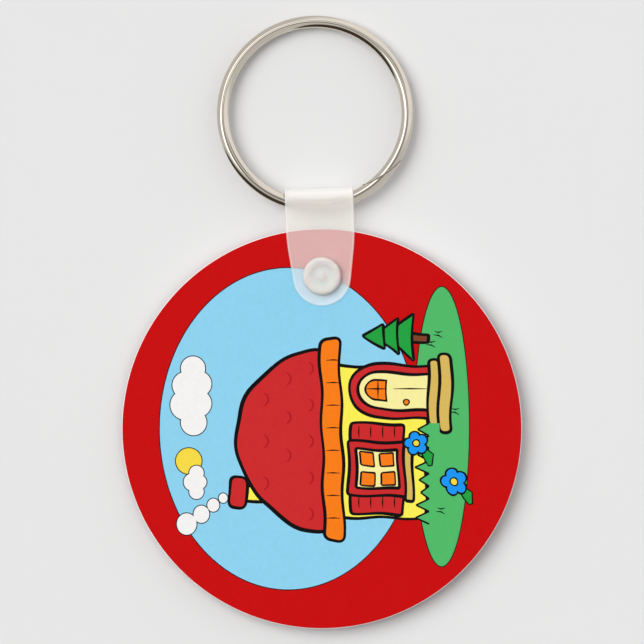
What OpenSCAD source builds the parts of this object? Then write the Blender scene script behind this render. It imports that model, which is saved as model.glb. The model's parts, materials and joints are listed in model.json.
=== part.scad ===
// Round printed key chain: a flat disc, a folded snap strap through a hole in it, and a split ring.
// Units are millimetres. +Z is the printed face, +Y points to the ring.
// The origin is the centre of the back cap's outer face, on the snap's axis.

/* [Disc] */
// Diameter of the disc
disc_d = 57.15; // [50:0.05:64]
// Thickness of the white core
core_t = 2.1; // [1:0.1:4]
// Rounding of the core's two edges
edge_r = 0.1; // [0.05:0.05:0.5]
// Thickness of the printed coat on each face
coat_t = 0.1; // [0.05:0.05:0.2]
// Distance from the disc's centre to the hole
hole_offset = 21.78; // [15:0.01:24]
// Diameter of the hole
hole_d = 5.2; // [4:0.1:7]

/* [Strap] */
// Thickness of the strap
strap_t = 0.35; // [0.3:0.05:0.6]
// Width of the strap at the fold
strap_w = 9.8; // [8:0.1:12]
// Radius of the strap's rounded ends
end_r = 4.13; // [3:0.01:5]
// Reach of the rounded ends past the hole
end_reach = 4.24; // [3:0.01:6]
// Distance past the hole at which the strap has its full width
taper_at = 5.3; // [3:0.1:8]
// Distance from the hole to the top of the fold
fold_reach = 12.72; // [10:0.01:16]
// Inner radius of the fold
fold_r = 1.65; // [1.2:0.05:2.5]
// Angle at which each leg runs out to the fold
leg_slope = 6.5; // [4:0.5:12]
// Gap between a leg and the disc
leg_gap = 0.03; // [0.01:0.01:0.1]
// Width of the raised bead along the strap's edges
bead_w = 0.35; // [0.2:0.05:0.6]
// Height of the bead
bead_h = 0.08; // [0.04:0.02:0.12]
// Distance of the flexing line from the fold's centre
flex_back = 2.3; // [1:0.1:3.5]
// Gap at the flexing line between the strap's two nodes, filled by the front one's rounded end
flex_gap = 0.3; // [0.2:0.05:0.5]
// Distance by which the bead stops short of the flexing line
bead_short = 0.2; // [0.1:0.05:0.5]
// Turn of the strap and the ring about the hole at rest
lean = 2.05; // [-20:0.05:20]

/* [Snap] */
// Diameter of the two caps
cap_d = 5.45; // [4:0.05:7]
// Height of the front cap
cap_front_h = 0.9; // [0.5:0.1:1.5]
// Rounding of the front cap's lower edge
cap_front_low_r = 0.15; // [0.05:0.05:0.3]
// Rounding of the front cap's upper edge
cap_front_top_r = 0.3; // [0.1:0.05:0.4]
// Height of the back cap
cap_back_h = 0.6; // [0.5:0.1:1.5]
// Rounding of the back cap's edge on the table side
cap_back_low_r = 0.25; // [0.1:0.05:0.3]
// Rounding of the back cap's edge on the strap side
cap_back_top_r = 0.1; // [0.05:0.05:0.2]
// Diameter of the front cap's dish
dish_d = 3.3; // [2:0.1:4]
// Depth of the dish
dish_depth = 0.35; // [0.1:0.05:0.6]
// Diameter of the nub in the dish
nub_d = 1.1; // [0.6:0.1:2]
// Drop of the nub below the cap's rim
nub_drop = 0.08; // [0.02:0.02:0.2]
// Diameter of the two caps' pins
pin_d = 1.5; // [1:0.1:2]
// Length of the front cap's pin inside the stud
pin_front = 1; // [0.5:0.1:1.2]
// Length of the back cap's pin inside the socket's floor
pin_back = 0.4; // [0.2:0.05:0.45]
// Diameter of the stud's flange under the strap
stud_flange_d = 4.4; // [3.5:0.1:5]
// Thickness of the stud's flange
stud_flange_h = 0.35; // [0.2:0.05:0.6]
// Length of the stud
stud_len = 1.75; // [1.4:0.05:1.8]
// Diameter of the stud's head
stud_d = 2.7; // [2:0.1:3.4]
// Height of the stud's head
stud_head_h = 0.8; // [0.6:0.1:1]
// Rounding of the stud's head
stud_head_r = 0.3; // [0.1:0.05:0.35]
// Depth of the stud's neck behind its head
stud_neck = 0.12; // [0.05:0.01:0.2]
// Diameter of the socket's bore
socket_bore = 3.3; // [2.4:0.1:3.8]
// Outer diameter of the socket
socket_d = 4.3; // [3.5:0.1:5]
// Height of the socket
socket_h = 1.85; // [1.5:0.05:1.9]
// Thickness of the socket's floor
socket_floor = 0.45; // [0.3:0.05:0.6]
// Diameter of the socket's flange on the strap
socket_flange_d = 4.6; // [4:0.1:5]
// Thickness of the socket's flange
socket_flange_h = 0.3; // [0.2:0.05:0.5]

/* [Ring] */
// Outer diameter of the split ring
ring_d = 28.1; // [20:0.1:35]
// Width of the wire
wire_w = 1.7; // [1:0.05:2.5]
// Height of one coil
coil_h = 0.93; // [0.6:0.01:1.4]
// Gap between the two coils
coil_gap = 0.04; // [0.02:0.01:0.1]
// Rounding of the wire's corners
wire_r = 0.42; // [0.2:0.01:0.6]
// Distance of the ring's swing axis from the fold's centre, towards the disc
swing_back = 0.1; // [0:0.05:0.3]
// Distance of the wire behind the ring's swing axis
wire_back = 0.5; // [0:0.05:1]
// Distance of the ring from the strap's middle, towards -X
ring_side = 0.15; // [-1:0.05:1]
// Angle of the crossover, counted from +X
cross_at = -45; // [-180:1:180]
// Angle that the crossover takes up
cross_w = 32; // [20:1:50]
// Downward tilt of the ring at rest
ring_tilt = 2.5; // [0:0.1:6]

/* [Hidden] */
$fn = 96;
disc_t = core_t + 2 * coat_t;
half_in = disc_t / 2 + leg_gap;
mid_z = cap_back_h + strap_t + half_in;
fold_y = fold_reach - fold_r - strap_t;
slope_run = (fold_r * cos(leg_slope) - half_in) / sin(leg_slope);
kink_y = fold_y - fold_r * sin(leg_slope) - slope_run * cos(leg_slope);
neutral_r = fold_r + strap_t / 2;
flex_y = fold_y - neutral_r * sin(leg_slope) - flex_back * cos(leg_slope);
flex_z = neutral_r * cos(leg_slope) - flex_back * sin(leg_slope);
mean_r = (ring_d - wire_w) / 2;
level = (coil_h + coil_gap) / 2;
cross_tilt = asin(level / (mean_r * sin(cross_w / 2)));
// The crossover is this much slimmer than the coils all round, and runs this many degrees into each.
cross_slim = 0.03;
cross_lap = 0.5;
// Angle between each cut end and the crossover.
end_gap = 0.8;
// Gap between a pin and its hole.
fit_gap = 0.02;
// Depth that a pin's hole has beyond the pin, and the overlap of parts that are joined.
lap = 0.1;
// A length beyond any part's reach.
far = 60;

// ---- Shared shapes ----

module cylinder_at(r, z0, z1) {
    translate([0, 0, z0])
        cylinder(r = r, h = z1 - z0);
}

// Half outline of a round plate with rounded edges, for turning.
module plate_outline(r, h, low_r, top_r) {
    translate([0, low_r])
        square([r, h - low_r - top_r]);
    square([r - low_r, h]);
    translate([0, h / 2])
        square([r - top_r, h / 2]);
    translate([r - low_r, low_r])
        circle(low_r);
    translate([r - top_r, h - top_r])
        circle(top_r);
}

// Outline of one leg seen from above, pulled in by the given amount.
module leg_plan(inset) {
    w = strap_w / 2 - inset;
    r = end_r - inset;
    mid = end_r - end_reach;
    // Direction from the round end's centre to the point where the tapered side touches it.
    touch = atan2(taper_at - mid, w) - acos(r / norm([w, taper_at - mid]));
    translate([0, mid])
        circle(r);
    polygon([
        [w, far],
        [-w, far],
        [-w, taper_at],
        [-r * cos(touch), mid + r * sin(touch)],
        [r * cos(touch), mid + r * sin(touch)],
        [w, taper_at]
    ]);
}

// Side view of the front leg up to the fold, in Y and height above the disc's middle.
module leg_side(t) {
    n = [-sin(leg_slope), cos(leg_slope)];
    touch = [fold_y, 0] + fold_r * n;
    kink = [kink_y, half_in];
    translate([-far, half_in])
        square([far + kink_y, t]);
    polygon([kink, touch, touch + t * n, kink + t * n]);
}

// Side view of the fold between the two legs.
module fold_side(t) {
    n = [-sin(leg_slope), cos(leg_slope)];
    translate([fold_y, 0])
        difference() {
            circle(fold_r + t);
            circle(fold_r);
            polygon([
                [0, 0],
                far * n,
                [-far, far * n[1]],
                [-far, -far * n[1]],
                [far * n[0], -far * n[1]]
            ]);
        }
}

// Everything that lies past the flexing line by the given amount.
module past_flex(by) {
    translate([flex_y, flex_z])
        rotate(leg_slope)
            translate([by, -1])
                square([far, 2]);
}

// Side view of the back leg, the fold and the front leg's first part.
module back_side(t) {
    mirror([0, 1])
        leg_side(t);
    fold_side(t);
    intersection() {
        leg_side(t);
        past_flex(flex_gap);
    }
}

// Side view of the front leg, cut off at the flexing line.
module front_side(t, short) {
    difference() {
        leg_side(t);
        past_flex(-short);
    }
}

// Keeps what lies within the strap's plan, or only its beaded edge.
module within_plan(edge_only) {
    intersection() {
        children();
        translate([0, 0, -far / 2])
            linear_extrude(far)
                difference() {
                    leg_plan(0);
                    if (edge_only) {
                        leg_plan(bead_w);
                    }
                }
    }
}

module band(edge_only) {
    within_plan(edge_only)
        translate([0, 0, mid_z])
            rotate([90, 0, 90])
                linear_extrude(far, center = true)
                    children();
}

// ---- Disc ----

module disc_core() {
    color([0.93, 0.92, 0.9])
        difference() {
            translate([0, -hole_offset, mid_z - core_t / 2])
                rotate_extrude()
                    intersection() {
                        plate_outline(disc_d / 2, core_t, edge_r, edge_r);
                        square([disc_d, core_t]);
                    }
            cylinder_at(hole_d / 2, -1, mid_z + disc_t);
        }
}

module coat(z0) {
    difference() {
        translate([0, -hole_offset, 0])
            cylinder_at(disc_d / 2 - edge_r, z0, z0 + coat_t);
        cylinder_at(hole_d / 2, z0 - 1, z0 + coat_t + 1);
    }
}

module front_print() {
    color([0.78, 0.09, 0.09])
        coat(mid_z + core_t / 2);
}

module back_coat() {
    color([0.78, 0.09, 0.09])
        coat(mid_z - disc_t / 2);
}

// ---- Strap ----

module strap_back() {
    color([0.9, 0.9, 0.88, 0.55])
        rotate([0, 0, lean])
            difference() {
                union() {
                    band(false)
                        back_side(strap_t);
                    band(true)
                        back_side(strap_t + bead_h);
                }
                cylinder_at(pin_d / 2 + fit_gap, 0, mid_z);
            }
}

module strap_front() {
    color([0.9, 0.9, 0.88, 0.55])
        rotate([0, 0, lean])
            difference() {
                union() {
                    band(false) {
                        front_side(strap_t, 0);
                        translate([flex_y, flex_z])
                            circle(strap_t / 2);
                    }
                    band(true)
                        front_side(strap_t + bead_h, bead_short);
                }
                cylinder_at(pin_d / 2 + fit_gap, mid_z, far);
            }
}

// ---- Snap ----

module snap_cap_front() {
    color([0.9, 0.9, 0.88])
        translate([0, 0, mid_z + half_in + strap_t])
            rotate([0, 0, lean])
                union() {
                    rotate_extrude()
                        intersection() {
                            difference() {
                                plate_outline(cap_d / 2, cap_front_h, cap_front_low_r, cap_front_top_r);
                                translate([0, cap_front_h - dish_depth])
                                    square([dish_d / 2, cap_front_h]);
                            }
                            square([cap_d, cap_front_h]);
                        }
                    cylinder_at(nub_d / 2, cap_front_h / 2, cap_front_h - nub_drop);
                    cylinder_at(pin_d / 2, -strap_t - pin_front, lap);
                }
}

module snap_stud() {
    top = mid_z + half_in;
    color([0.88, 0.88, 0.86])
        difference() {
            union() {
                cylinder_at(stud_flange_d / 2, top - stud_flange_h, top);
                cylinder_at(stud_d / 2 - stud_neck, top - stud_len + stud_head_h / 2, top);
                translate([0, 0, top - stud_len])
                    rotate_extrude()
                        intersection() {
                            plate_outline(stud_d / 2, stud_head_h, stud_head_r, stud_head_r);
                            square([stud_d, stud_head_h]);
                        }
            }
            cylinder_at(pin_d / 2 + fit_gap, top - pin_front - lap, top + lap);
        }
}

module snap_socket() {
    base = mid_z - half_in;
    color([0.88, 0.88, 0.86])
        difference() {
            union() {
                cylinder_at(socket_flange_d / 2, base, base + socket_flange_h);
                cylinder_at(socket_d / 2, base, base + socket_h);
            }
            cylinder_at(socket_bore / 2, base + socket_floor, base + socket_h + lap);
            cylinder_at(pin_d / 2 + fit_gap, base - lap, base + socket_floor + lap);
        }
}

module snap_cap_back() {
    color([0.9, 0.9, 0.88])
        union() {
            rotate_extrude()
                intersection() {
                    plate_outline(cap_d / 2, cap_back_h, cap_back_low_r, cap_back_top_r);
                    square([cap_d, cap_back_h]);
                }
            cylinder_at(pin_d / 2, lap, cap_back_h + strap_t + pin_back);
        }
}

// ---- Ring ----

// An arc of wire that starts at +X, with its section slimmed by the given amount all round.
module wire(sweep, slim) {
    r = wire_r - slim;
    rotate_extrude(angle = sweep)
        translate([mean_r, 0])
            union() {
                square([wire_w - 2 * wire_r, coil_h - 2 * slim], center = true);
                square([wire_w - 2 * slim, coil_h - 2 * wire_r], center = true);
                for (sx = [-1, 1], sy = [-1, 1]) {
                    translate([sx * (wire_w / 2 - wire_r), sy * (coil_h / 2 - wire_r)])
                        circle(r);
                }
            }
}

// Two turns of one wire. The crossover's ends run a little way into the coils.
module coils() {
    lower_start = cross_w / 2 + end_gap;
    turn = 360 - cross_w - end_gap;
    translate([0, 0, -level])
        rotate([0, 0, lower_start])
            wire(turn, 0);
    rotate([cross_tilt, 0, 0])
        rotate([0, 0, -cross_w / 2 - cross_lap])
            wire(cross_w + 2 * cross_lap, cross_slim);
    translate([0, 0, level])
        rotate([0, 0, cross_w / 2])
            wire(turn, 0);
}

module split_ring() {
    color([0.8, 0.76, 0.7])
        rotate([0, 0, lean])
            translate([-ring_side, fold_y - swing_back, mid_z])
                rotate([-ring_tilt, 0, 0])
                    translate([0, mean_r - wire_back, 0])
                        rotate([0, 0, cross_at])
                            mirror([0, 1, 0])
                                coils();
}

disc_core();
front_print();
back_coat();
strap_back();
strap_front();
snap_cap_front();
snap_stud();
snap_socket();
snap_cap_back();
split_ring();
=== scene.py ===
"""Looks of a round printed key chain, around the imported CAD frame.

The pieces are a disc, a folded translucent snap strap and a split ring.
"""

import json
import math

import bmesh
import bpy
import numpy as np
from mathutils import Matrix, Vector
from mathutils.geometry import delaunay_2d_cdt


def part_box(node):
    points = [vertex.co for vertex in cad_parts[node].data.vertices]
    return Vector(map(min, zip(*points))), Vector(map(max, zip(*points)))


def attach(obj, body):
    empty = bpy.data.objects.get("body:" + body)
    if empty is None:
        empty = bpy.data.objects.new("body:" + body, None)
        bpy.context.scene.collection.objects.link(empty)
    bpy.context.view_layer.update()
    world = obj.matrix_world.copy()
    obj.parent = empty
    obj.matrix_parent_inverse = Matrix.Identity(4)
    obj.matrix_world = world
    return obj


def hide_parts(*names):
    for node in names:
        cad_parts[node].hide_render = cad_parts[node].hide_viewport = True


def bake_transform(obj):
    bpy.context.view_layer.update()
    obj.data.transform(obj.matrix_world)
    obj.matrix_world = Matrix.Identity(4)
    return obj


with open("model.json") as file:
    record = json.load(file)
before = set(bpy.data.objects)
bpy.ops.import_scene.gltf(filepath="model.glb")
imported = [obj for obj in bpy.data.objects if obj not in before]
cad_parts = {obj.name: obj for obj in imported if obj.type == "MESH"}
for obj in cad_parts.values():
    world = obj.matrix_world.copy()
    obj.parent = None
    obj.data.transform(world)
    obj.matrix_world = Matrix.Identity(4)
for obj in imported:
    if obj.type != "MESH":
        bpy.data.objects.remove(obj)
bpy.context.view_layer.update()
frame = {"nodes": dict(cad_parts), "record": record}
MM = 0.001

# ---------------------------------------------------------------- places, from the frame


def joint(name):
    return next(j for j in frame["record"]["behaviour"]["joints"] if j["name"] == name)


CORE_LOW, CORE_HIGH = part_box("disc_core")
PRINT_LOW, PRINT_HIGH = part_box("front_print")
CAP_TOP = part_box("snap_cap_front")[1].z
DISC_CENTRE = (CORE_LOW + CORE_HIGH) / 2
DISC_R = (CORE_HIGH.x - CORE_LOW.x) / 2
PRINT_R = (PRINT_HIGH.x - PRINT_LOW.x) / 2
MID_Z = joint("strap_swivel")["pos_m"][2]
SWING = Vector(joint("ring_swing")["pos_m"])
SWING_AXIS = Vector(joint("ring_swing")["axis"])
LEAN = math.atan2(SWING_AXIS.y, SWING_AXIS.x)

# ---------------------------------------------------------------- sizes, in metres and radians

HOLE_R = 2.6 * MM
EDGE_R = 0.1 * MM
STRAP_T = 0.35 * MM
STRAP_HALF_W = 4.9 * MM
STRAP_END_R = 4.13 * MM
# From the snap's axis to the strap's tip, and from the tip to where the strap has its full width.
STRAP_REACH = 4.24 * MM
STRAP_SHOULDER = STRAP_REACH + 5.3 * MM
# The legs lie along the disc, a small gap off it, and then spread at this slope up to the fold.
LEG_GAP = 0.03 * MM
STRAP_SLOPE = math.radians(6.5)
FOLD_R = 1.65 * MM
CAP_R = 2.725 * MM
CAP_FRONT_H = 0.9 * MM
CAP_BACK_H = 0.6 * MM
WIRE_W = 1.7 * MM
COIL_H = 0.93 * MM
COIL_GAP = 0.04 * MM
# To the middle of the wire. CROWN_R is the curve of the wire's domed side.
RING_R = 13.2 * MM
CROWN_R = 1.18 * MM
# The swing axis lies this far short of the fold's centre, and the wire this far short of the axis.
SWING_BACK = 0.1 * MM
WIRE_BACK = 0.5 * MM
# The ring sits a little to the strap's left, and its far side hangs lower.
RING_SIDE = 0.15 * MM
RING_TILT = math.radians(2.5)
# Where the wire changes level, and over how much of a turn.
CROSS_AT = math.radians(-45)
CROSS_W = math.radians(32)
# In half widths of the wire: how far across it the seam runs in the crossover, and the seam's width.
SEAM_RUN = 2.2
SEAM_GAP = 0.1
FOLD_Y = SWING.xy.length + SWING_BACK

# ---------------------------------------------------------------- meshes


def add_object(name, data):
    """Puts a mesh, a light or a camera into the scene."""
    made = bpy.data.objects.new(name, data)
    bpy.context.scene.collection.objects.link(made)
    return made


def make_object(name, verts, faces, smooth=True):
    mesh = bpy.data.meshes.new(name)
    mesh.from_pydata([tuple(v) for v in verts], [], faces)
    mesh.validate()
    if smooth:
        mesh.shade_smooth()
    return add_object(name, mesh)


def finish_bmesh(name, bm):
    """Turns every face of a closed bmesh outwards, and makes an object of it."""
    bmesh.ops.recalc_face_normals(bm, faces=bm.faces)
    mesh = bpy.data.meshes.new(name)
    bm.to_mesh(mesh)
    bm.free()
    return add_object(name, mesh)


def outward(obj):
    """Turns every face of a closed mesh outwards."""
    bm = bmesh.new()
    bm.from_mesh(obj.data)
    bmesh.ops.recalc_face_normals(bm, faces=bm.faces)
    bm.to_mesh(obj.data)
    bm.free()
    return obj


def arc(cx, cy, radius, start, end, steps):
    """Points on a circle from start to end, in degrees, both ends included."""
    turns = [math.radians(start + (end - start) * i / steps) for i in range(steps + 1)]
    return [(cx + radius * math.cos(a), cy + radius * math.sin(a)) for a in turns]


def curve(start, pull, end, steps):
    """Points on a smooth curve from start to end that bends towards pull, both ends included."""
    points = []
    for t in np.linspace(0, 1, steps + 1):
        points.append(tuple(start * (1 - t) ** 2 + pull * 2 * t * (1 - t) + end * t * t))
    return points


def loop_edges(first, count):
    return [(first + i, first + (i + 1) % count) for i in range(count)]


def bands(loops, count):
    """Faces that join each closed loop of points to the next one. Every loop has count points."""
    faces = []
    for first in range(0, (loops - 1) * count, count):
        for i in range(count):
            a, b = first + i, first + (i + 1) % count
            faces.append((a, b, b + count, a + count))
    return faces


def inside(points, outline):
    """Which of the points lie inside the closed outline."""
    points = np.asarray(points)
    outline = np.asarray(outline)
    low, high = outline.min(0), outline.max(0)
    near = np.where(((points > low) & (points < high)).all(1))[0]
    x, y = points[near, 0], points[near, 1]
    crossed = np.zeros(len(near), bool)
    for (x0, y0), (x1, y1) in zip(outline, np.roll(outline, -1, 0)):
        if y0 == y1:
            continue
        spans = (y0 > y) != (y1 > y)
        crossed ^= spans & (x < (x1 - x0) * (y - y0) / (y1 - y0) + x0)
    result = np.zeros(len(points), bool)
    result[near[crossed]] = True
    return result


def triangulate(outlines, extra=()):
    """Triangles whose edges follow every outline, as points and index triples."""
    points, edges = [], []
    for outline in outlines:
        edges += loop_edges(len(points), len(outline))
        points += [Vector(p) for p in outline]
    points += [Vector(p) for p in extra]
    made = delaunay_2d_cdt(points, edges, [], 0, 1e-9)
    return [tuple(p) for p in made[0]], [tuple(f) for f in made[2]]


def centres(points, triangles):
    return np.asarray(points)[np.asarray(triangles)].mean(1)


# Twice the area, in square metres, that a triangle has to have.
SLIVER = 1e-12


def broad(points, triangles):
    """Which triangles have a real area. Points in line leave flat ones outside an outline."""
    a, b, c = np.asarray(points)[np.asarray(triangles)].transpose(1, 0, 2)
    along, other = b - a, c - a
    return abs(along[:, 0] * other[:, 1] - along[:, 1] * other[:, 0]) > SLIVER


def lathe(name, profile, segments=128):
    """Turns a closed profile of (radius, height) points. A radius of zero is one shared point."""
    verts, rows, faces = [], [], []
    for radius, height in profile:
        count = 1 if radius == 0 else segments
        rows.append([len(verts) + i for i in range(count)])
        for i in range(count):
            a = 2 * math.pi * i / segments
            verts.append((radius * math.cos(a), radius * math.sin(a), height))
    for row, following in zip(rows, rows[1:]):
        for i in range(segments):
            k = (i + 1) % segments
            corners = [row[i % len(row)], row[k % len(row)]]
            corners += [following[k % len(following)], following[i % len(following)]]
            faces.append(list(dict.fromkeys(corners)))
    return outward(make_object(name, verts, faces))


# ---------------------------------------------------------------- materials


def srgb(red, green, blue):
    """A colour given as 0 to 255 per channel, as the shader wants it."""
    def linear(c):
        c /= 255
        return c / 12.92 if c <= 0.04045 else ((c + 0.055) / 1.055) ** 2.4
    return (linear(red), linear(green), linear(blue), 1.0)


# Fractal noise lies mostly between these values.
NOISE_SPAN = (0.3, 0.7)
NOISE_ROUGHNESS = 0.55


class Look:
    """A node material with one Principled shader, and short ways to add to it."""

    def __init__(self, name, **sockets):
        self.material = bpy.data.materials.new(name)
        self.material.use_nodes = True
        self.tree = self.material.node_tree
        self.shader = next(n for n in self.tree.nodes if n.type == "BSDF_PRINCIPLED")
        for socket, value in sockets.items():
            self.shader.inputs[socket.replace("_", " ")].default_value = value
        self.where = self.add("ShaderNodeTexCoord").outputs["Object"]

    def add(self, kind, **settings):
        node = self.tree.nodes.new(kind)
        for key, value in settings.items():
            setattr(node, key, value)
        return node

    def link(self, output, target):
        self.tree.links.new(output, target)

    def noise(self, size, detail=3.0, stretch=(1, 1, 1)):
        """Noise with features of about the given size, in metres."""
        mapping = self.add("ShaderNodeMapping")
        mapping.inputs["Scale"].default_value = [s / size for s in stretch]
        self.link(self.where, mapping.inputs["Vector"])
        node = self.add("ShaderNodeTexNoise")
        node.inputs["Scale"].default_value = 1.0
        node.inputs["Detail"].default_value = detail
        node.inputs["Roughness"].default_value = NOISE_ROUGHNESS
        self.link(mapping.outputs["Vector"], node.inputs["Vector"])
        return node.outputs["Fac"]

    def remap(self, value, low, high, to_low, to_high):
        node = self.add("ShaderNodeMapRange")
        numbers = {"From Min": low, "From Max": high, "To Min": to_low, "To Max": to_high}
        for socket, number in numbers.items():
            node.inputs[socket].default_value = number
        self.link(value, node.inputs["Value"])
        return node.outputs["Result"]

    def vary(self, size, to_low, to_high, detail=3.0, span=NOISE_SPAN):
        """A number that drifts between two values, with features of about the given size."""
        return self.remap(self.noise(size, detail), *span, to_low, to_high)

    def times(self, colour, amount):
        """The colour brightened or darkened by a varying amount."""
        node = self.add("ShaderNodeMix", data_type="RGBA", blend_type="MULTIPLY")
        node.inputs["Factor"].default_value = 1.0
        if isinstance(colour, tuple):
            node.inputs["A"].default_value = colour
        else:
            self.link(colour, node.inputs["A"])
        self.link(amount, node.inputs["B"])
        return node.outputs["Result"]

    def bump(self, height, strength, distance):
        node = self.add("ShaderNodeBump")
        node.inputs["Strength"].default_value = strength
        node.inputs["Distance"].default_value = distance
        self.link(height, node.inputs["Height"])
        self.link(node.outputs["Normal"], self.shader.inputs["Normal"])

    def let_light_through(self, seen, shading):
        """Opacity as seen, and a lower one for shadows, because a milky plastic passes light on."""
        node = self.add("ShaderNodeMix")
        self.link(seen, node.inputs["A"])
        node.inputs["B"].default_value = shading
        self.link(self.add("ShaderNodeLightPath").outputs["Is Shadow Ray"], node.inputs["Factor"])
        self.set("Alpha", node.outputs["Result"])

    def set(self, socket, output):
        self.link(output, self.shader.inputs[socket])


def print_look(name, darkest, colour=None):
    """Glossy print with press mottle and a faint orange peel. With no colour, the mesh gives the ink."""
    look = Look(name, Specular_IOR_Level=0.09, IOR=1.45, Coat_Weight=0.05, Coat_Roughness=0.08)
    ink = colour or look.add("ShaderNodeAttribute", attribute_name="ink").outputs["Color"]
    look.set("Base Color", look.times(ink, look.vary(0.5 * MM, darkest, 1.02, 4.0)))
    look.set("Roughness", look.vary(3 * MM, 0.3, 0.4))
    look.bump(look.noise(0.9 * MM, 2.0), 0.06, 0.02 * MM)
    return look.material


def core_look():
    """White moulded blank with a fine satin grain on its rim."""
    look = Look("white_core", Specular_IOR_Level=0.4, Subsurface_Weight=0.15, Subsurface_Scale=0.4 * MM)
    grain = look.noise(0.12 * MM, stretch=(1, 1, 0.25))
    look.set("Base Color", look.times(srgb(246, 245, 243), look.vary(2 * MM, 0.97, 1.0)))
    look.set("Roughness", look.remap(grain, *NOISE_SPAN, 0.3, 0.42))
    look.bump(grain, 0.15, 0.01 * MM)
    return look.material


def strap_look():
    """Milky see-through vinyl. How milky, and how grey where nothing backs it, comes from the mesh. The
    grey is painted shade, and the extra milkiness at the fold and along the bead is partly painted
    highlight.

    Its roughness stays above 0.28. Patches below that showed as marks with an outline.
    """
    look = Look("vinyl_strap", Specular_IOR_Level=0.5, IOR=1.5)
    milky = look.add("ShaderNodeAttribute", attribute_name="milky").outputs["Fac"]
    grey = look.add("ShaderNodeAttribute", attribute_name="grey").outputs["Fac"]
    # Colour B is painted shade: the strap is mixed towards it where nothing bright lies behind it.
    tint = look.add("ShaderNodeMix", data_type="RGBA")
    tint.inputs["A"].default_value = srgb(255, 253, 250)
    tint.inputs["B"].default_value = srgb(245, 242, 237)
    look.link(grey, tint.inputs["Factor"])
    smooth_span = (0.1, 0.9)
    cloud = look.vary(3.5 * MM, 0.955, 1.0, 1.0, smooth_span)
    look.set("Base Color", look.times(tint.outputs["Result"], cloud))
    look.let_light_through(milky, 0.1)
    look.set("Roughness", look.vary(1.2 * MM, 0.285, 0.36, 1.0, smooth_span))
    look.bump(look.noise(1.8 * MM, 2.0), 0.05, 0.03 * MM)
    return look.material


def snap_look():
    """Milky moulded plastic of the snap, which light enters a little way."""
    look = Look("snap_plastic", Specular_IOR_Level=0.4, Subsurface_Weight=0.7, Subsurface_Scale=1.2 * MM)
    look.set("Base Color", look.times(srgb(223, 221, 218), look.vary(0.8 * MM, 0.97, 1.0)))
    look.set("Roughness", look.vary(0.4 * MM, 0.3, 0.42))
    look.bump(look.noise(0.25 * MM, 2.0), 0.08, 0.01 * MM)
    return look.material


def nickel_look():
    """Bright nickel plate: small changes of tint and gloss, and a slight unevenness."""
    look = Look("nickel", Metallic=1.0, IOR=2.0)
    look.set("Base Color", look.times(srgb(236, 226, 212), look.vary(2.5 * MM, 0.95, 1.0)))
    look.set("Roughness", look.vary(0.35 * MM, 0.03, 0.09, 5.0, (0.35, 0.75)))
    look.bump(look.noise(0.5 * MM), 0.05, 0.01 * MM)
    return look.material


# ---------------------------------------------------------------- the printed picture
# Picture coordinates are millimetres from the disc's centre. u runs to the picture's right, v to its
# top. The picture lies on its side on the disc: its top points to -X and its right side to the ring.

INKS = {
    "red": srgb(198, 8, 10),
    "roof": srgb(202, 42, 44),
    "dark_red": srgb(176, 22, 34),
    "orange": srgb(247, 124, 22),
    "yellow": srgb(248, 236, 84),
    "cream": srgb(246, 236, 158),
    "tan": srgb(214, 182, 92),
    "sky": srgb(141, 208, 237),
    "grass": srgb(80, 184, 104),
    "leaf": srgb(34, 160, 64),
    "brown": srgb(122, 66, 42),
    "blue": srgb(26, 148, 242),
    "white": srgb(241, 240, 239),
    "sun": srgb(244, 216, 70),
    "black": srgb(14, 12, 14),
}
LINE = 0.44
THIN = 0.14


def ellipse(u, v, ru, rv, steps=72):
    return [(u + ru * x, v + rv * y) for x, y in arc(0, 0, 1, 0, 360, steps)[:-1]]


def rounded(corners, radius, steps=6):
    """A closed outline with its corners rounded by short curves."""
    points = []
    for i, corner in enumerate(corners):
        here = Vector(corner)
        before = Vector(corners[i - 1]) - here
        after = Vector(corners[(i + 1) % len(corners)]) - here
        reach = min(radius, before.length * 0.45, after.length * 0.45)
        start = here + before.normalized() * reach
        end = here + after.normalized() * reach
        points += curve(start, here, end, steps)
    return points


def box_outline(low_u, high_u, low_v, high_v, radius):
    return rounded([(low_u, low_v), (high_u, low_v), (high_u, high_v), (low_u, high_v)], radius)


# Keeps sharp corners of a grown outline from shooting out.
MITRE = 0.35


def grow(outline, by):
    """The outline moved outwards, or inwards where by is negative. It may differ from point to point."""
    points = np.asarray(outline, float)
    forward = np.roll(points, -1, 0) - points
    area = (points[:, 0] * np.roll(points[:, 1], -1) - np.roll(points[:, 0], -1) * points[:, 1]).sum()
    side = np.stack([forward[:, 1], -forward[:, 0]], 1) * (1 if area > 0 else -1)
    side /= np.maximum(np.linalg.norm(side, axis=1, keepdims=True), 1e-9)
    both = side + np.roll(side, 1, 0)
    reach = both / np.maximum((both ** 2).sum(1, keepdims=True) / 2, MITRE)
    return [tuple(p) for p in points + reach * np.reshape(by, (-1, 1))]


def ribbon(points, width, taper=True):
    """A pen stroke along open points, thinner towards its ends."""
    points = np.asarray(points, float)
    along = np.gradient(points, axis=0)
    side = np.stack([-along[:, 1], along[:, 0]], 1)
    side /= np.linalg.norm(side, axis=1, keepdims=True)
    t = np.linspace(0, 1, len(points))
    thin_end = 0.35 if taper else 1
    half = width / 2 * (thin_end + (1 - thin_end) * np.sin(math.pi * t) ** 0.6)
    left = points + side * half[:, None]
    right = points - side * half[:, None]
    return [tuple(p) for p in np.concatenate([left, right[::-1]])]


def by_hand(outline):
    """The outline in short steps, gently bent as if drawn freehand."""
    pen_step = 0.6
    points = []
    for start, end in zip(outline, outline[1:] + outline[:1]):
        steps = max(1, round(math.dist(start, end) / pen_step))
        for k in range(steps):
            u = start[0] + (end[0] - start[0]) * k / steps
            v = start[1] + (end[1] - start[1]) * k / steps
            bend_u = 0.14 * math.sin(0.83 * v + 0.31 * u) + 0.035 * v
            bend_v = 0.16 * math.sin(0.71 * u - 0.27 * v + 1.1)
            points.append((u + bend_u, v + bend_v))
    return points


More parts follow.
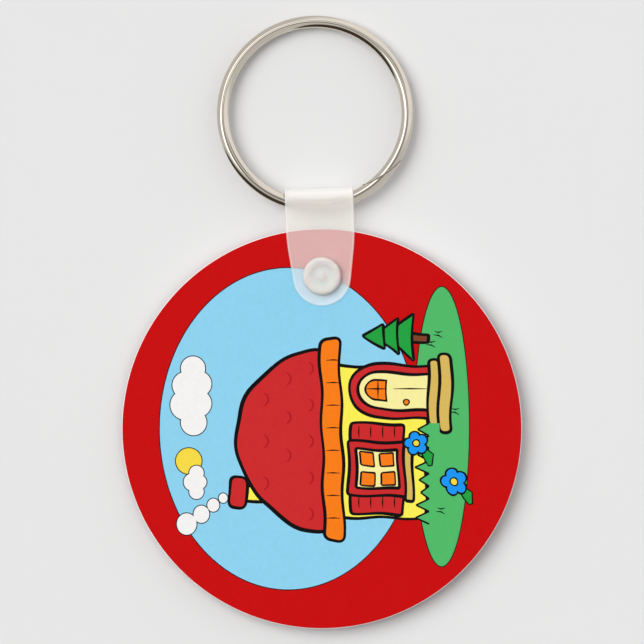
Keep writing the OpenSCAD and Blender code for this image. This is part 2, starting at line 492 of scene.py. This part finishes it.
class Picture:
    """Shapes in painting order, each a closed outline and its ink."""

    def __init__(self):
        self.shapes = []

    def fill(self, outline, ink):
        self.shapes.append((outline, ink))

    def drawn(self, outlines, ink, line=LINE):
        """One area made of one or more overlapping outlines, with a pen line that swells and thins."""
        outlines = [by_hand(outline) if line > THIN else outline for outline in outlines]
        for outline in outlines:
            turns = np.linspace(0, 2 * math.pi, len(outline), endpoint=False)
            pen = line / 2 * (1 + 0.25 * np.sin(3 * turns + len(outline)) * (line > THIN))
            self.fill(grow(outline, pen), "black")
        for outline in outlines:
            self.fill(grow(outline, -line / 2), ink)

    def stroke(self, points, width):
        self.fill(ribbon(points, width), "black")


def draw_landscape(picture):
    picture.drawn([ellipse(0, 4.8, 23.0, 18.4, 288)], "sky", THIN)
    picture.drawn([ellipse(0.3, -17.1, 20.0, 3.95, 240)], "grass", THIN)


def draw_sky(picture):
    picture.drawn([ellipse(-4.6, 19.0, 1.9, 1.9)], "sun", THIN)
    small = [(-9.0, 17.9, 1.1), (-7.6, 18.5, 1.3), (-6.3, 17.9, 1.1), (-7.6, 17.5, 1.1)]
    large = [(0.9, 18.3, 1.9), (3.4, 19.5, 2.2), (6.2, 19.4, 2.0), (8.6, 18.4, 1.8)]
    large += [(3.6, 17.7, 2.0), (6.4, 17.6, 1.9)]
    for puffs in (small, large):
        picture.drawn([ellipse(u, v, r, r) for u, v, r in puffs], "white", THIN)


def draw_chimney(picture):
    puffs = [(-9.9, 14.1, 0.75), (-10.9, 15.5, 1.0), (-12.2, 17.2, 1.3), (-13.6, 19.3, 1.6)]
    picture.drawn([ellipse(u, v, r, r * 0.92) for u, v, r in puffs], "white", THIN)
    picture.drawn([box_outline(-10.6, -8.5, 4.8, 11.4, 0.3)], "yellow")
    picture.drawn([box_outline(-11.7, -7.4, 10.8, 13.2, 0.9)], "roof")


def draw_wall(picture):
    picture.drawn([rounded([(-12.3, -14.8), (9.3, -15.2), (9.0, 0.4), (-12.6, 0.6)], 0.4)], "yellow")


def draw_roof(picture):
    eaves = [(-15.4, -1.6), (-13.9, 4.8), (-8.6, 10.6), (-2.4, 12.6), (4.0, 11.4)]
    eaves += [(9.4, 6.4), (12.4, -0.9)]
    picture.drawn([rounded(eaves, 4.2, 14)], "roof", LINE * 1.25)
    for row, v in enumerate((8.6, 5.4, 2.2)):
        reach = 6.0 + 2.2 * row
        count = 3 + row
        for i in range(count):
            u = -1.8 + reach * (2 * i / (count - 1) - 1) + 0.7 * (row % 2)
            if abs(u + 9.5) > 1.6:
                picture.fill(ribbon(arc(u, v, 0.95, 200, 340, 14), 0.26), "dark_red")
    board = rounded([(-16.0, -3.2), (13.0, -2.5), (12.8, 0.3), (-15.8, -0.4)], 1.0, 8)
    picture.drawn([board], "orange")
    for i in range(1, 9):
        u = -16.0 + 29.0 * i / 9
        picture.stroke([(u, -2.6), (u + 0.05, -1.6), (u, -0.6)], 0.2)


def draw_window(picture):
    for low_u, high_u in ((-11.9, -9.0), (-1.9, 1.0)):
        picture.drawn([box_outline(low_u, high_u, -11.6, -4.2, 0.5)], "roof")
        for k in range(4):
            v = -10.4 + 1.7 * k
            picture.stroke([(low_u + 0.6, v), ((low_u + high_u) / 2, v + 0.05), (high_u - 0.6, v)], 0.22)
    picture.drawn([box_outline(-9.3, -1.6, -12.0, -3.8, 0.5)], "roof")
    picture.drawn([box_outline(-8.2, -2.7, -10.9, -4.9, 0.3)], "cream")
    for u in (-6.85, -4.05):
        for v in (-9.35, -6.45):
            picture.drawn([box_outline(u - 0.95, u + 0.95, v - 1.0, v + 1.0, 0.25)], "orange", 0.26)
    picture.drawn([box_outline(-9.8, -1.1, -13.0, -11.8, 0.4)], "tan")


def arched(low_u, high_u, low_v, high_v, steps=24):
    """A door outline: straight sides and a round top."""
    middle = (low_u + high_u) / 2
    radius = (high_u - low_u) / 2
    return [(low_u, low_v), (high_u, low_v)] + arc(middle, high_v - radius, radius, 0, 180, steps)


def draw_door(picture):
    picture.drawn([arched(1.9, 9.5, -15.4, -3.9)], "roof")
    picture.drawn([arched(3.1, 8.3, -15.4, -5.2)], "cream")
    picture.drawn([arched(4.3, 7.1, -9.3, -6.3)], "orange", 0.28)
    picture.stroke([(5.7, -9.3), (5.7, -7.8), (5.7, -6.3)], 0.24)
    picture.stroke([(4.3, -8.0), (5.7, -8.0), (7.1, -8.0)], 0.24)
    picture.stroke([(5.7, -15.2), (5.72, -12.6), (5.7, -10.2)], 0.22)
    picture.drawn([ellipse(4.3, -12.2, 0.42, 0.42, 24)], "orange", 0.2)
    picture.drawn([box_outline(1.0, 10.4, -16.7, -15.2, 0.7)], "tan")
    picture.drawn([box_outline(0.2, 11.2, -18.5, -16.7, 0.85)], "tan")


def draw_tree(picture):
    picture.drawn([box_outline(12.9, 14.1, -15.3, -12.2, 0.2)], "brown")
    for low_v, high_v, half in ((-13.0, -9.0, 3.3), (-10.9, -7.3, 2.6), (-8.9, -5.7, 1.9)):
        tier = rounded([(13.5 - half, low_v), (13.5 + half, low_v), (13.5, high_v)], 0.35)
        picture.drawn([tier], "leaf", LINE * 0.9)


def draw_flower(picture, u, v, size):
    leaf = ribbon([(u - 0.3, v - 0.6), (u - 1.6, v - 1.9), (u - 2.9, v - 2.2)], 1.5 * size)
    picture.drawn([leaf], "leaf", 0.2)
    round_petal = size * 0.78
    petals = []
    for at_u, at_v in arc(u, v, size, 90, 450, 5)[:-1]:
        petals.append(ellipse(at_u, at_v, round_petal, round_petal, 36))
    picture.drawn(petals, "blue", 0.26)
    picture.drawn([ellipse(u, v, size * 0.5, size * 0.5, 28)], "sun", 0.2)


def draw_grass(picture):
    """Tufts along the foot of the wall: green points with a pen line on their upper edge."""
    tips = []
    for i in range(17):
        u = -13.6 + 0.9 * i
        tips.append((u, -13.7 + 0.45 * math.sin(2.3 * i) if i % 2 else -15.3))
    picture.fill(tips + [(0.8, -16.8), (-13.6, -16.8)], "grass")
    for start, end in zip(tips, tips[1:]):
        middle = ((start[0] + end[0]) / 2, (start[1] + end[1]) / 2)
        picture.fill(ribbon([start, middle, end], 0.26, taper=False), "black")
    for u, v in ((11.6, -16.2), (13.0, -17.2), (-12.2, -17.6), (2.0, -19.6)):
        picture.stroke([(u, v), (u + 0.35, v + 0.6), (u + 0.4, v + 1.3)], 0.22)
        picture.stroke([(u + 0.9, v), (u + 0.75, v + 0.6), (u + 0.9, v + 1.1)], 0.22)


def draw_picture():
    picture = Picture()
    draw_landscape(picture)
    draw_sky(picture)
    draw_chimney(picture)
    draw_tree(picture)
    draw_wall(picture)
    draw_roof(picture)
    draw_window(picture)
    draw_door(picture)
    draw_grass(picture)
    draw_flower(picture, -1.7, -13.4, 0.95)
    draw_flower(picture, -7.0, -19.0, 1.1)
    return picture.shapes


# ---------------------------------------------------------------- the disc


def hole_outline():
    """The strap's hole, which lies on the origin."""
    return arc(0, 0, HOLE_R, 0, 360, 96)[:-1]


def disc_outline(radius):
    return arc(DISC_CENTRE.x, DISC_CENTRE.y, radius, 0, 360, 360)[:-1]


def make_core():
    """The white blank: rounded rim, flat faces and a through hole."""
    low, high = CORE_LOW.z, CORE_HIGH.z
    rim = arc(DISC_R - EDGE_R, low + EDGE_R, EDGE_R, -90, 0, 8)
    rim += [(r, low + high - z) for r, z in reversed(rim)]
    bm = bmesh.new()
    rows = [[bm.verts.new((x, y, z)) for x, y in disc_outline(r)] for r, z in rim]
    for lower, upper in zip(rows, rows[1:]):
        for i, k in loop_edges(0, len(lower)):
            bm.faces.new((lower[i], lower[k], upper[k], upper[i]))
    lower, upper = [[bm.verts.new((x, y, z)) for x, y in hole_outline()] for z in (low, high)]
    for i, k in loop_edges(0, len(lower)):
        bm.faces.new((lower[k], lower[i], upper[i], upper[k]))
    for edge, hole in ((rows[0], lower), (rows[-1], upper)):
        points, triangles = triangulate([[v.co.xy for v in loop] for loop in (edge, hole)])
        verts = edge + hole
        keep = ~inside(centres(points, triangles), hole_outline())
        for face, kept in zip(triangles, keep):
            if kept:
                bm.faces.new([verts[i] for i in face])
    blank = finish_bmesh("disc_blank", bm)
    blank.data.shade_smooth()
    blank.data.set_sharp_from_angle(angle=math.radians(40))
    return blank


def make_print():
    """The printed coat: one thin closed sheet whose faces follow the picture's outlines."""
    top, bottom = PRINT_HIGH.z, PRINT_LOW.z
    bevel = 0.03 * MM
    edge = disc_outline(PRINT_R - bevel)
    hole = hole_outline()
    placed = []
    for outline, ink in draw_picture():
        spots = [(DISC_CENTRE.x - v * MM, DISC_CENTRE.y + u * MM) for u, v in outline]
        placed.append((spots, ink))
    points, triangles = triangulate([edge, hole] + [spots for spots, ink in placed])
    middles = centres(points, triangles)
    keep = inside(middles, edge) & ~inside(middles, hole)
    names = list(INKS)
    inks = np.full(len(triangles), names.index("red"))
    for spots, ink in placed:
        inks[inside(middles, spots)] = names.index(ink)
    bm = bmesh.new()
    layer = bm.loops.layers.float_color.new("ink")
    verts = [bm.verts.new((x, y, top)) for x, y in points]
    for face, ink, kept in zip(triangles, inks, keep):
        if kept:
            made = bm.faces.new([verts[i] for i in face])
            for loop in made.loops:
                loop[layer] = INKS[names[ink]]
    for vert in [v for v in bm.verts if not v.link_faces]:
        bm.verts.remove(vert)
    border = [e for e in bm.edges if e.is_boundary]
    for drop, spread in ((bevel, bevel), (top - bottom - bevel, 0)):
        grown = bmesh.ops.extrude_edge_only(bm, edges=border)["geom"]
        border = [e for e in grown if isinstance(e, bmesh.types.BMEdge)]
        for vert in {v for e in border for v in e.verts}:
            near_hole = vert.co.xy.length < HOLE_R * 1.2
            if not near_hole:
                away = Vector((vert.co.x - DISC_CENTRE.x, vert.co.y - DISC_CENTRE.y, 0))
                vert.co += away.normalized() * spread
            vert.co.z -= drop
    # The coat's edge has the ink beside it. The underside lies on the blank and stays white.
    bmesh.ops.triangle_fill(bm, edges=border, use_beauty=False)
    return finish_bmesh("printed_face", bm)


# ---------------------------------------------------------------- the strap

HALF_IN = PRINT_HIGH.z - MID_Z + LEG_GAP
LEG_Z = HALF_IN + STRAP_T / 2
NEUTRAL_R = FOLD_R + STRAP_T / 2
SLOPE_RUN = (NEUTRAL_R * math.cos(STRAP_SLOPE) - LEG_Z) / math.sin(STRAP_SLOPE)
KINK_Y = FOLD_Y - NEUTRAL_R * math.sin(STRAP_SLOPE) - SLOPE_RUN * math.cos(STRAP_SLOPE)
FLAT_RUN = KINK_Y + STRAP_REACH
ARC_RUN = NEUTRAL_R * (math.pi + 2 * STRAP_SLOPE)
STRAP_LENGTH = 2 * (FLAT_RUN + SLOPE_RUN) + ARC_RUN


def fold_path():
    """Distances along the strap, and its Y, its height above the disc's middle and its heading there."""
    soft = 0.5 * MM
    first = FLAT_RUN
    second = FLAT_RUN + SLOPE_RUN
    third = second + ARC_RUN
    fourth = third + SLOPE_RUN
    turned = -math.pi - STRAP_SLOPE
    stops = [0, first - soft, first + soft, second, third, fourth - soft, fourth + soft, STRAP_LENGTH]
    headings = [0, 0, STRAP_SLOPE, STRAP_SLOPE, turned, turned, -math.pi, -math.pi]
    s = np.linspace(0, STRAP_LENGTH, 4001)
    heading = np.interp(s, stops, headings)
    middle = (heading[1:] + heading[:-1]) / 2
    step = s[1]
    y = -STRAP_REACH + np.concatenate([[0], np.cumsum(np.cos(middle)) * step])
    z = LEG_Z + np.concatenate([[0], np.cumsum(np.sin(middle)) * step])
    return s, y, z, heading


def fold_up(obj):
    """Bends a strap that was laid out flat, along Y and with its outer face up, into its place."""
    s, y, z, heading = fold_path()
    turn = Matrix.Rotation(LEAN, 3, "Z")
    for vert in obj.data.vertices:
        along, height = vert.co.y, vert.co.z
        a = np.interp(along, s, heading)
        at_y = np.interp(along, s, y) - math.sin(a) * height
        at_z = np.interp(along, s, z) + math.cos(a) * height
        vert.co = turn @ Vector((vert.co.x, at_y, MID_Z + at_z))
    obj.data.update()


def strap_half_outline(row):
    """Right-hand edge of the flat strap, from its first tip to half its length, in even steps."""
    rise = STRAP_SHOULDER - STRAP_END_R
    touch = math.atan2(rise, STRAP_HALF_W) - math.acos(STRAP_END_R / math.hypot(STRAP_HALF_W, rise))
    tip = arc(0, STRAP_END_R, STRAP_END_R, -90, math.degrees(touch), 60)
    shoulder = Vector((STRAP_HALF_W, STRAP_SHOULDER))
    soft = 2 * MM
    before = shoulder + (Vector(tip[-1]) - shoulder).normalized() * soft
    after = shoulder + Vector((0, soft))
    bend = curve(before, shoulder, after, 11)
    points = np.array(tip + bend + [(STRAP_HALF_W, STRAP_LENGTH / 2)])
    run = np.concatenate([[0], np.cumsum(np.linalg.norm(np.diff(points, axis=0), axis=1))])
    steps = np.linspace(0, run[-1], int(run[-1] / row) + 1)[:-1]
    across, along = (np.interp(steps, run, points[:, axis]) for axis in (0, 1))
    return [(float(x), float(y)) for x, y in zip(across, along)]


def paint(obj, name, values):
    """One number per point, for the material to read."""
    layer = obj.data.attributes.new(name, "FLOAT", "POINT")
    layer.data.foreach_set("value", np.asarray(values, np.float32))


# How opaque the strap is: on its legs, and what its tips, the part past the disc and the fold add, and
# the least it has on its bead. The fold's extra milkiness is partly the whitening of bent vinyl and
# partly painted highlight. The bead's is painted highlight.
MILKY_LEG = 0.268
MILKY_TIP = 0.07
MILKY_FREE = 0.16
MILKY_FOLD_HIGHLIGHT = 0.25
MILKY_BEAD_HIGHLIGHT = 0.4


def paint_strap(strap):
    """How milky and how grey each point of the flat strap is. The grey is painted shade past the disc's
    rim, and the extra milkiness at the fold and on the bead is partly painted highlight.
    """
    places = np.array([vert.co for vert in strap.data.vertices])
    beaded = places[:, 2] > STRAP_T / 2 * 1.25
    from_tip = np.minimum(places[:, 1], STRAP_LENGTH - places[:, 1])
    centre = Matrix.Rotation(-LEAN, 2) @ DISC_CENTRE.xy
    past_rim = np.hypot(places[:, 0] - centre.x, from_tip - STRAP_REACH - centre.y) - DISC_R
    free = np.interp(past_rim, [0, 0.35 * MM], [0, 1])
    # The fold's top is painted whiter: partly the whitening of bent vinyl, partly a painted highlight.
    folded = np.interp(STRAP_LENGTH / 2 - from_tip, [1.7 * MM, 2.7 * MM], [1, 0])
    near_tip = np.interp(from_tip, [2.5 * MM, 5 * MM], [1, 0])
    milky = MILKY_LEG + MILKY_TIP * near_tip + MILKY_FREE * free + MILKY_FOLD_HIGHLIGHT * folded
    # The bead is painted milkier and is never grey: a painted highlight along the strap's edges.
    paint(strap, "milky", np.where(beaded, np.maximum(milky, MILKY_BEAD_HIGHLIGHT), milky))
    # Past the disc's rim the strap is painted grey, as painted shade, and less so at the fold.
    paint(strap, "grey", np.where(beaded, 0.0, free * (1 - 0.9 * folded)))


def make_strap():
    """One strap from tip to tip with a raised bead along its edges, laid out flat."""
    row = 0.2 * MM
    columns = 15
    margin = 0.12 * MM
    right = strap_half_outline(row)
    right += [(STRAP_HALF_W, STRAP_LENGTH / 2)] + [(x, STRAP_LENGTH - y) for x, y in reversed(right)]
    outline = right + [(-x, y) for x, y in reversed(right[1:-1])]
    half = STRAP_T / 2
    bead = half + 0.08 * MM
    # Inset from the edge and height, from the inner face round the edge to the outer face.
    section = [
        (0.13 * MM, -half), (0.07 * MM, -half * 0.93), (0.02 * MM, -half * 0.6), (0, 0),
        (0.03 * MM, bead * 0.55), (0.1 * MM, bead * 0.9), (0.18 * MM, bead), (0.26 * MM, bead * 0.93),
        (0.34 * MM, half * 1.06), (0.42 * MM, half),
    ]
    loops = [[(x, y, z) for x, y in grow(outline, -inset)] for inset, z in section]
    count = len(outline)
    verts = [p for loop in loops for p in loop]
    faces = bands(len(loops), count)
    for n, height in ((0, -half), (len(loops) - 1, half)):
        edge = [(x, y) for x, y, z in loops[n]]
        grid = []
        for i in range(1, int(STRAP_LENGTH / row)):
            for x in np.linspace(-STRAP_HALF_W, STRAP_HALF_W, columns):
                grid.append((float(x), i * row))
        grid = [p for p, kept in zip(grid, inside(grid, grow(edge, -margin))) if kept]
        points, triangles = triangulate([edge], grid)
        kept = inside(centres(points, triangles), edge) & broad(points, triangles)
        base = len(verts)
        verts += [(x, y, height) for x, y in points[count:]]
        lookup = [n * count + i if i < count else base + i - count for i in range(len(points))]
        faces += [tuple(lookup[i] for i in f) for f, k in zip(triangles, kept) if k]
    strap = outward(make_object("vinyl_strap", verts, faces))
    paint_strap(strap)
    return strap


# ---------------------------------------------------------------- the snap


def make_front_cap():
    """Round cap with a soft outer edge, a shallow dish and a nub in its middle."""
    top = CAP_TOP
    base = top - CAP_FRONT_H
    profile = [(0, base)]
    foot = 0.04 * MM
    profile += arc(CAP_R - foot, base + foot, foot, -90, 0, 3)
    shoulder_w, shoulder_h = 0.5 * MM, 0.6 * MM
    for x, z in arc(0, 0, 1, 0, 90, 12):
        profile.append((CAP_R + (x - 1) * shoulder_w, top + (z - 1) * shoulder_h))
    # The dish and the nub as (radius, depth below the rim).
    dish = [
        (2.1, 0), (1.86, 0.012), (1.72, 0.05), (1.58, 0.115), (1.42, 0.18), (1.24, 0.222),
        (1.02, 0.24), (0.84, 0.238), (0.7, 0.218), (0.58, 0.18), (0.46, 0.14), (0.32, 0.113),
        (0.16, 0.102), (0, 0.1),
    ]
    profile += [(radius * MM, top - depth * MM) for radius, depth in dish]
    return lathe("front_cap", profile)


def make_back_cap():
    """Flat round cap that the key chain rests on."""
    low_r, top_r = 0.25 * MM, 0.1 * MM
    profile = [(0, 0)]
    profile += arc(CAP_R - low_r, low_r, low_r, -90, 0, 8)
    profile += arc(CAP_R - top_r, CAP_BACK_H - top_r, top_r, 0, 90, 6)
    profile.append((0, CAP_BACK_H))
    return lathe("back_cap", profile)


# ---------------------------------------------------------------- the split ring


def corner(across, radius):
    """How far a rounded edge lies below the wire's top, at a place from -1 to 1 across it."""
    t = max(0, (abs(across) - 1) * WIRE_W / 2 / radius + 1)
    return radius * (1 - math.sqrt(max(0, 1 - t * t)))


def crown(across):
    """How far the domed side lies below its highest line."""
    x = across * WIRE_W / 2
    return CROWN_R - math.sqrt(CROWN_R ** 2 - x * x) + corner(across, 0.05 * MM)


def wire_section(climbed, cut, lines):
    """Points round the wire as (across, height above the ring's middle).

    The lower turn's dome faces down and the upper turn's faces up. While the wire climbs, its outer
    part is already on the upper level. The upper turn's end keeps only what lies inside the cut.
    """
    half_w = WIRE_W / 2
    pitch = COIL_H + COIL_GAP
    base = -COIL_H - COIL_GAP / 2
    wall = 1 + SEAM_GAP - SEAM_RUN * climbed
    raised = climbed * climbed * (3 - 2 * climbed)
    # Points past the cut crowd together in this part of the width beside it.
    squeeze = 0.12
    wall_w = 0.03
    flat_edge = 0.12 * MM
    cut_edge = 0.06 * MM
    points = []
    for k, line in enumerate(lines):
        row = (k + 0.5) / len(lines) * 2
        top = row < 1
        across = (1 - 2 * (row % 1)) / (1 - 2 / len(lines)) * (1 if top else -1)
        if across > cut - squeeze:
            across = cut - squeeze + (across - cut + squeeze) * squeeze / (1 - cut + squeeze)
        if top:
            high = min(1, max(0, (across - wall) / wall_w))
            depth = high * crown(across) + (1 - high) * corner(across, flat_edge)
            if cut < 1:
                depth += corner(1 + min(0, across - cut), cut_edge)
            height = base + high * pitch + COIL_H - depth + line
        else:
            depth = (1 - raised) * crown(across) + raised * corner(across, flat_edge)
            height = base + raised * pitch + depth - line
        points.append((across * half_w, height))
    return points


def wire_stations():
    """Angles along the two turns, closest where the wire climbs and where its upper end is cut.

    The lower end starts just past the crossover. The upper end stops before its cut is a point.
    """
    half = CROSS_W / 2
    turn = 2 * math.pi
    first = half + math.radians(0.8)
    last = 2 * turn + half * 0.84
    stops = [first, turn - half, turn + half, 2 * turn - half, last]
    counts = [400, 110, 400, 100]
    angles = []
    for start, end, count in zip(stops, stops[1:], counts):
        angles.append(np.linspace(start, end, count, endpoint=False))
    return np.append(np.concatenate(angles), last)


def make_ring():
    """One wire of two turns with fine drawing lines, which climbs beside the slanted cut of its end."""
    ridges = 26
    around = 96
    rough = np.random.default_rng(7).uniform(-0.013 * MM, 0, ridges)
    spots = np.linspace(0, ridges, around, endpoint=False)
    lines = np.interp(spots, np.arange(ridges), rough, period=ridges)
    angles = wire_stations()
    place = Matrix.Rotation(LEAN, 4, "Z") @ Matrix.Translation((-RING_SIDE, FOLD_Y - SWING_BACK, MID_Z))
    place = place @ Matrix.Rotation(-RING_TILT, 4, "X") @ Matrix.Translation((0, RING_R - WIRE_BACK, 0))
    place = place @ Matrix.Rotation(CROSS_AT, 4, "Z")
    verts = []
    for angle in angles:
        climbed = min(1, max(0, (angle - 2 * math.pi) / CROSS_W + 0.5))
        ended = (angle - 4 * math.pi) / CROSS_W + 0.5
        cut = 1 if ended <= 0 else 1 - SEAM_RUN * ended
        out = Vector((math.cos(angle), -math.sin(angle), 0))
        for across, up in wire_section(climbed, cut, lines):
            verts.append(place @ (out * (RING_R + across) + Vector((0, 0, up))))
    faces = bands(len(angles), around)
    faces += [tuple(range(around)), tuple(range(len(verts) - around, len(verts)))]
    ring = outward(make_object("nickel_ring", verts, faces))
    ring.data.set_sharp_from_angle(angle=math.radians(50))
    return ring


# ---------------------------------------------------------------- build


def dress(obj, material, body, slot, *nodes):
    """Gives a piece its material and body, and hides the CAD nodes that it stands for. The slot argument
    is not used.
    """
    obj.data.materials.append(material)
    if body:
        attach(obj, body)
    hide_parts(*nodes)


snap = snap_look()
dress(make_core(), core_look(), "disc", "core", "disc_core")
dress(make_print(), print_look("ink", 0.975), "disc", "print", "front_print")
dress(make_front_cap(), snap, "strap_front", "snap", "snap_cap_front")
dress(make_back_cap(), snap, "strap_back", "snap", "snap_cap_back")
dress(make_ring(), nickel_look(), "ring", "ring", "split_ring")

strap = make_strap()
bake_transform(strap)
fold_up(strap)
dress(strap, strap_look(), None, "strap", "strap_front", "strap_back")

as_packed = {
    "back_coat": print_look("back_ink", 0.97, INKS["red"]),
    "snap_stud": snap,
    "snap_socket": snap,
}
for node, material in as_packed.items():
    for material_slot in frame["nodes"][node].material_slots:
        material_slot.material = material

# ---------------------------------------------------------------- stage, light and camera


def make_floor():
    reach = 4.0
    corners = [(-reach, -reach, 0), (reach, -reach, 0), (reach, reach, 0), (-reach, reach, 0)]
    floor = make_object("floor", corners, [(0, 1, 2, 3)], smooth=False)
    look = Look("floor", Roughness=0.9, Specular_IOR_Level=0.1)
    look.set("Base Color", look.times(srgb(229, 229, 229), look.vary(40 * MM, 0.995, 1.0)))
    floor.data.materials.append(look.material)


ROOM = (0.57, 0.57, 0.57)
# Patches of the room: direction, cosines to their outer edge and to their full strength, and colour.
# A later patch lies over the earlier ones.
PATCHES = [
    ((0.55, 0.55, 0.6), 0.72, 0.86, (0.88, 0.88, 0.88)),
    ((-0.5, -0.866, 0.33), 0.71, 0.8, (0.05, 0.04, 0.03)),
    ((-0.165, 0.407, 0.899), 0.966, 0.986, (1.2, 1.2, 1.2)),
    ((-0.336, 0.282, 0.899), 0.966, 0.986, (1.8, 1.8, 1.8)),
    ((-0.437, 0.038, 0.899), 0.966, 0.986, (1.8, 1.8, 1.8)),
    ((0, 0, 1), 0.974, 0.992, (0.25, 0.25, 0.25)),
    ((0.37, 0.37, 0.85), 0.986, 0.993, (0.15, 0.15, 0.15)),
]


def make_world():
    """A grey room with bright and dark patches for the metal to show. The camera sees plain grey."""
    world = bpy.data.worlds.new("studio")
    bpy.context.scene.world = world
    world.use_nodes = True
    tree = world.node_tree
    tree.nodes.clear()
    new, link = tree.nodes.new, tree.links.new
    where = new("ShaderNodeTexCoord").outputs["Generated"]

    def toward(direction, low, high):
        """0 away from the direction and 1 near it, between two cosines."""
        dot = new("ShaderNodeVectorMath")
        dot.operation = "DOT_PRODUCT"
        dot.inputs[1].default_value = Vector(direction).normalized()
        link(where, dot.inputs[0])
        ramp = new("ShaderNodeMapRange")
        ramp.interpolation_type = "SMOOTHSTEP"
        ramp.inputs["From Min"].default_value = low
        ramp.inputs["From Max"].default_value = high
        link(dot.outputs["Value"], ramp.inputs["Value"])
        return ramp.outputs["Result"]

    def over(base, factor, colour):
        mix = new("ShaderNodeMix")
        mix.data_type = "RGBA"
        mix.inputs["B"].default_value = (*colour, 1)
        if isinstance(base, tuple):
            mix.inputs["A"].default_value = (*base, 1)
        else:
            link(base, mix.inputs["A"])
        link(factor, mix.inputs["Factor"])
        return mix.outputs["Result"]

    room = ROOM
    for direction, edge, full, colour in PATCHES:
        room = over(room, toward(direction, edge, full), colour)
    light = new("ShaderNodeBackground")
    link(room, light.inputs["Color"])
    seen = new("ShaderNodeBackground")
    seen.inputs["Color"].default_value = srgb(231, 231, 231)
    path = new("ShaderNodeLightPath")
    pick = new("ShaderNodeMixShader")
    link(path.outputs["Is Camera Ray"], pick.inputs["Fac"])
    link(light.outputs["Background"], pick.inputs[1])
    link(seen.outputs["Background"], pick.inputs[2])
    out = new("ShaderNodeOutputWorld")
    link(pick.outputs["Shader"], out.inputs["Surface"])


def make_key():
    """Broad soft light from the upper left of the view, which the metal doesn't mirror."""
    data = bpy.data.lights.new("key", "SUN")
    data.energy = 1.53
    data.angle = math.radians(44)
    key = add_object("key", data)
    elevation = math.radians(53)
    towards = Vector((-0.92, 0.38, 0)).normalized() * math.cos(elevation)
    towards.z = math.sin(elevation)
    key.rotation_euler = towards.to_track_quat("Z", "Y").to_euler()
    key.visible_glossy = False


def make_camera():
    """Straight above, far away, with +Y up in the view."""
    view_width = 91.92 * MM
    centre_x, centre_y = 0.014 * MM, -6.543 * MM
    distance = 0.56
    data = bpy.data.cameras.new("camera")
    data.sensor_width = 36.0
    data.lens = data.sensor_width * distance / view_width
    data.clip_start, data.clip_end = 0.01, 20.0
    camera = add_object("camera", data)
    camera.location = (centre_x, centre_y, PRINT_HIGH.z + distance)
    bpy.context.scene.camera = camera


make_floor()
make_world()
make_key()
make_camera()
bpy.context.scene.view_settings.view_transform = "Standard"
bpy.context.scene.view_settings.look = "None"
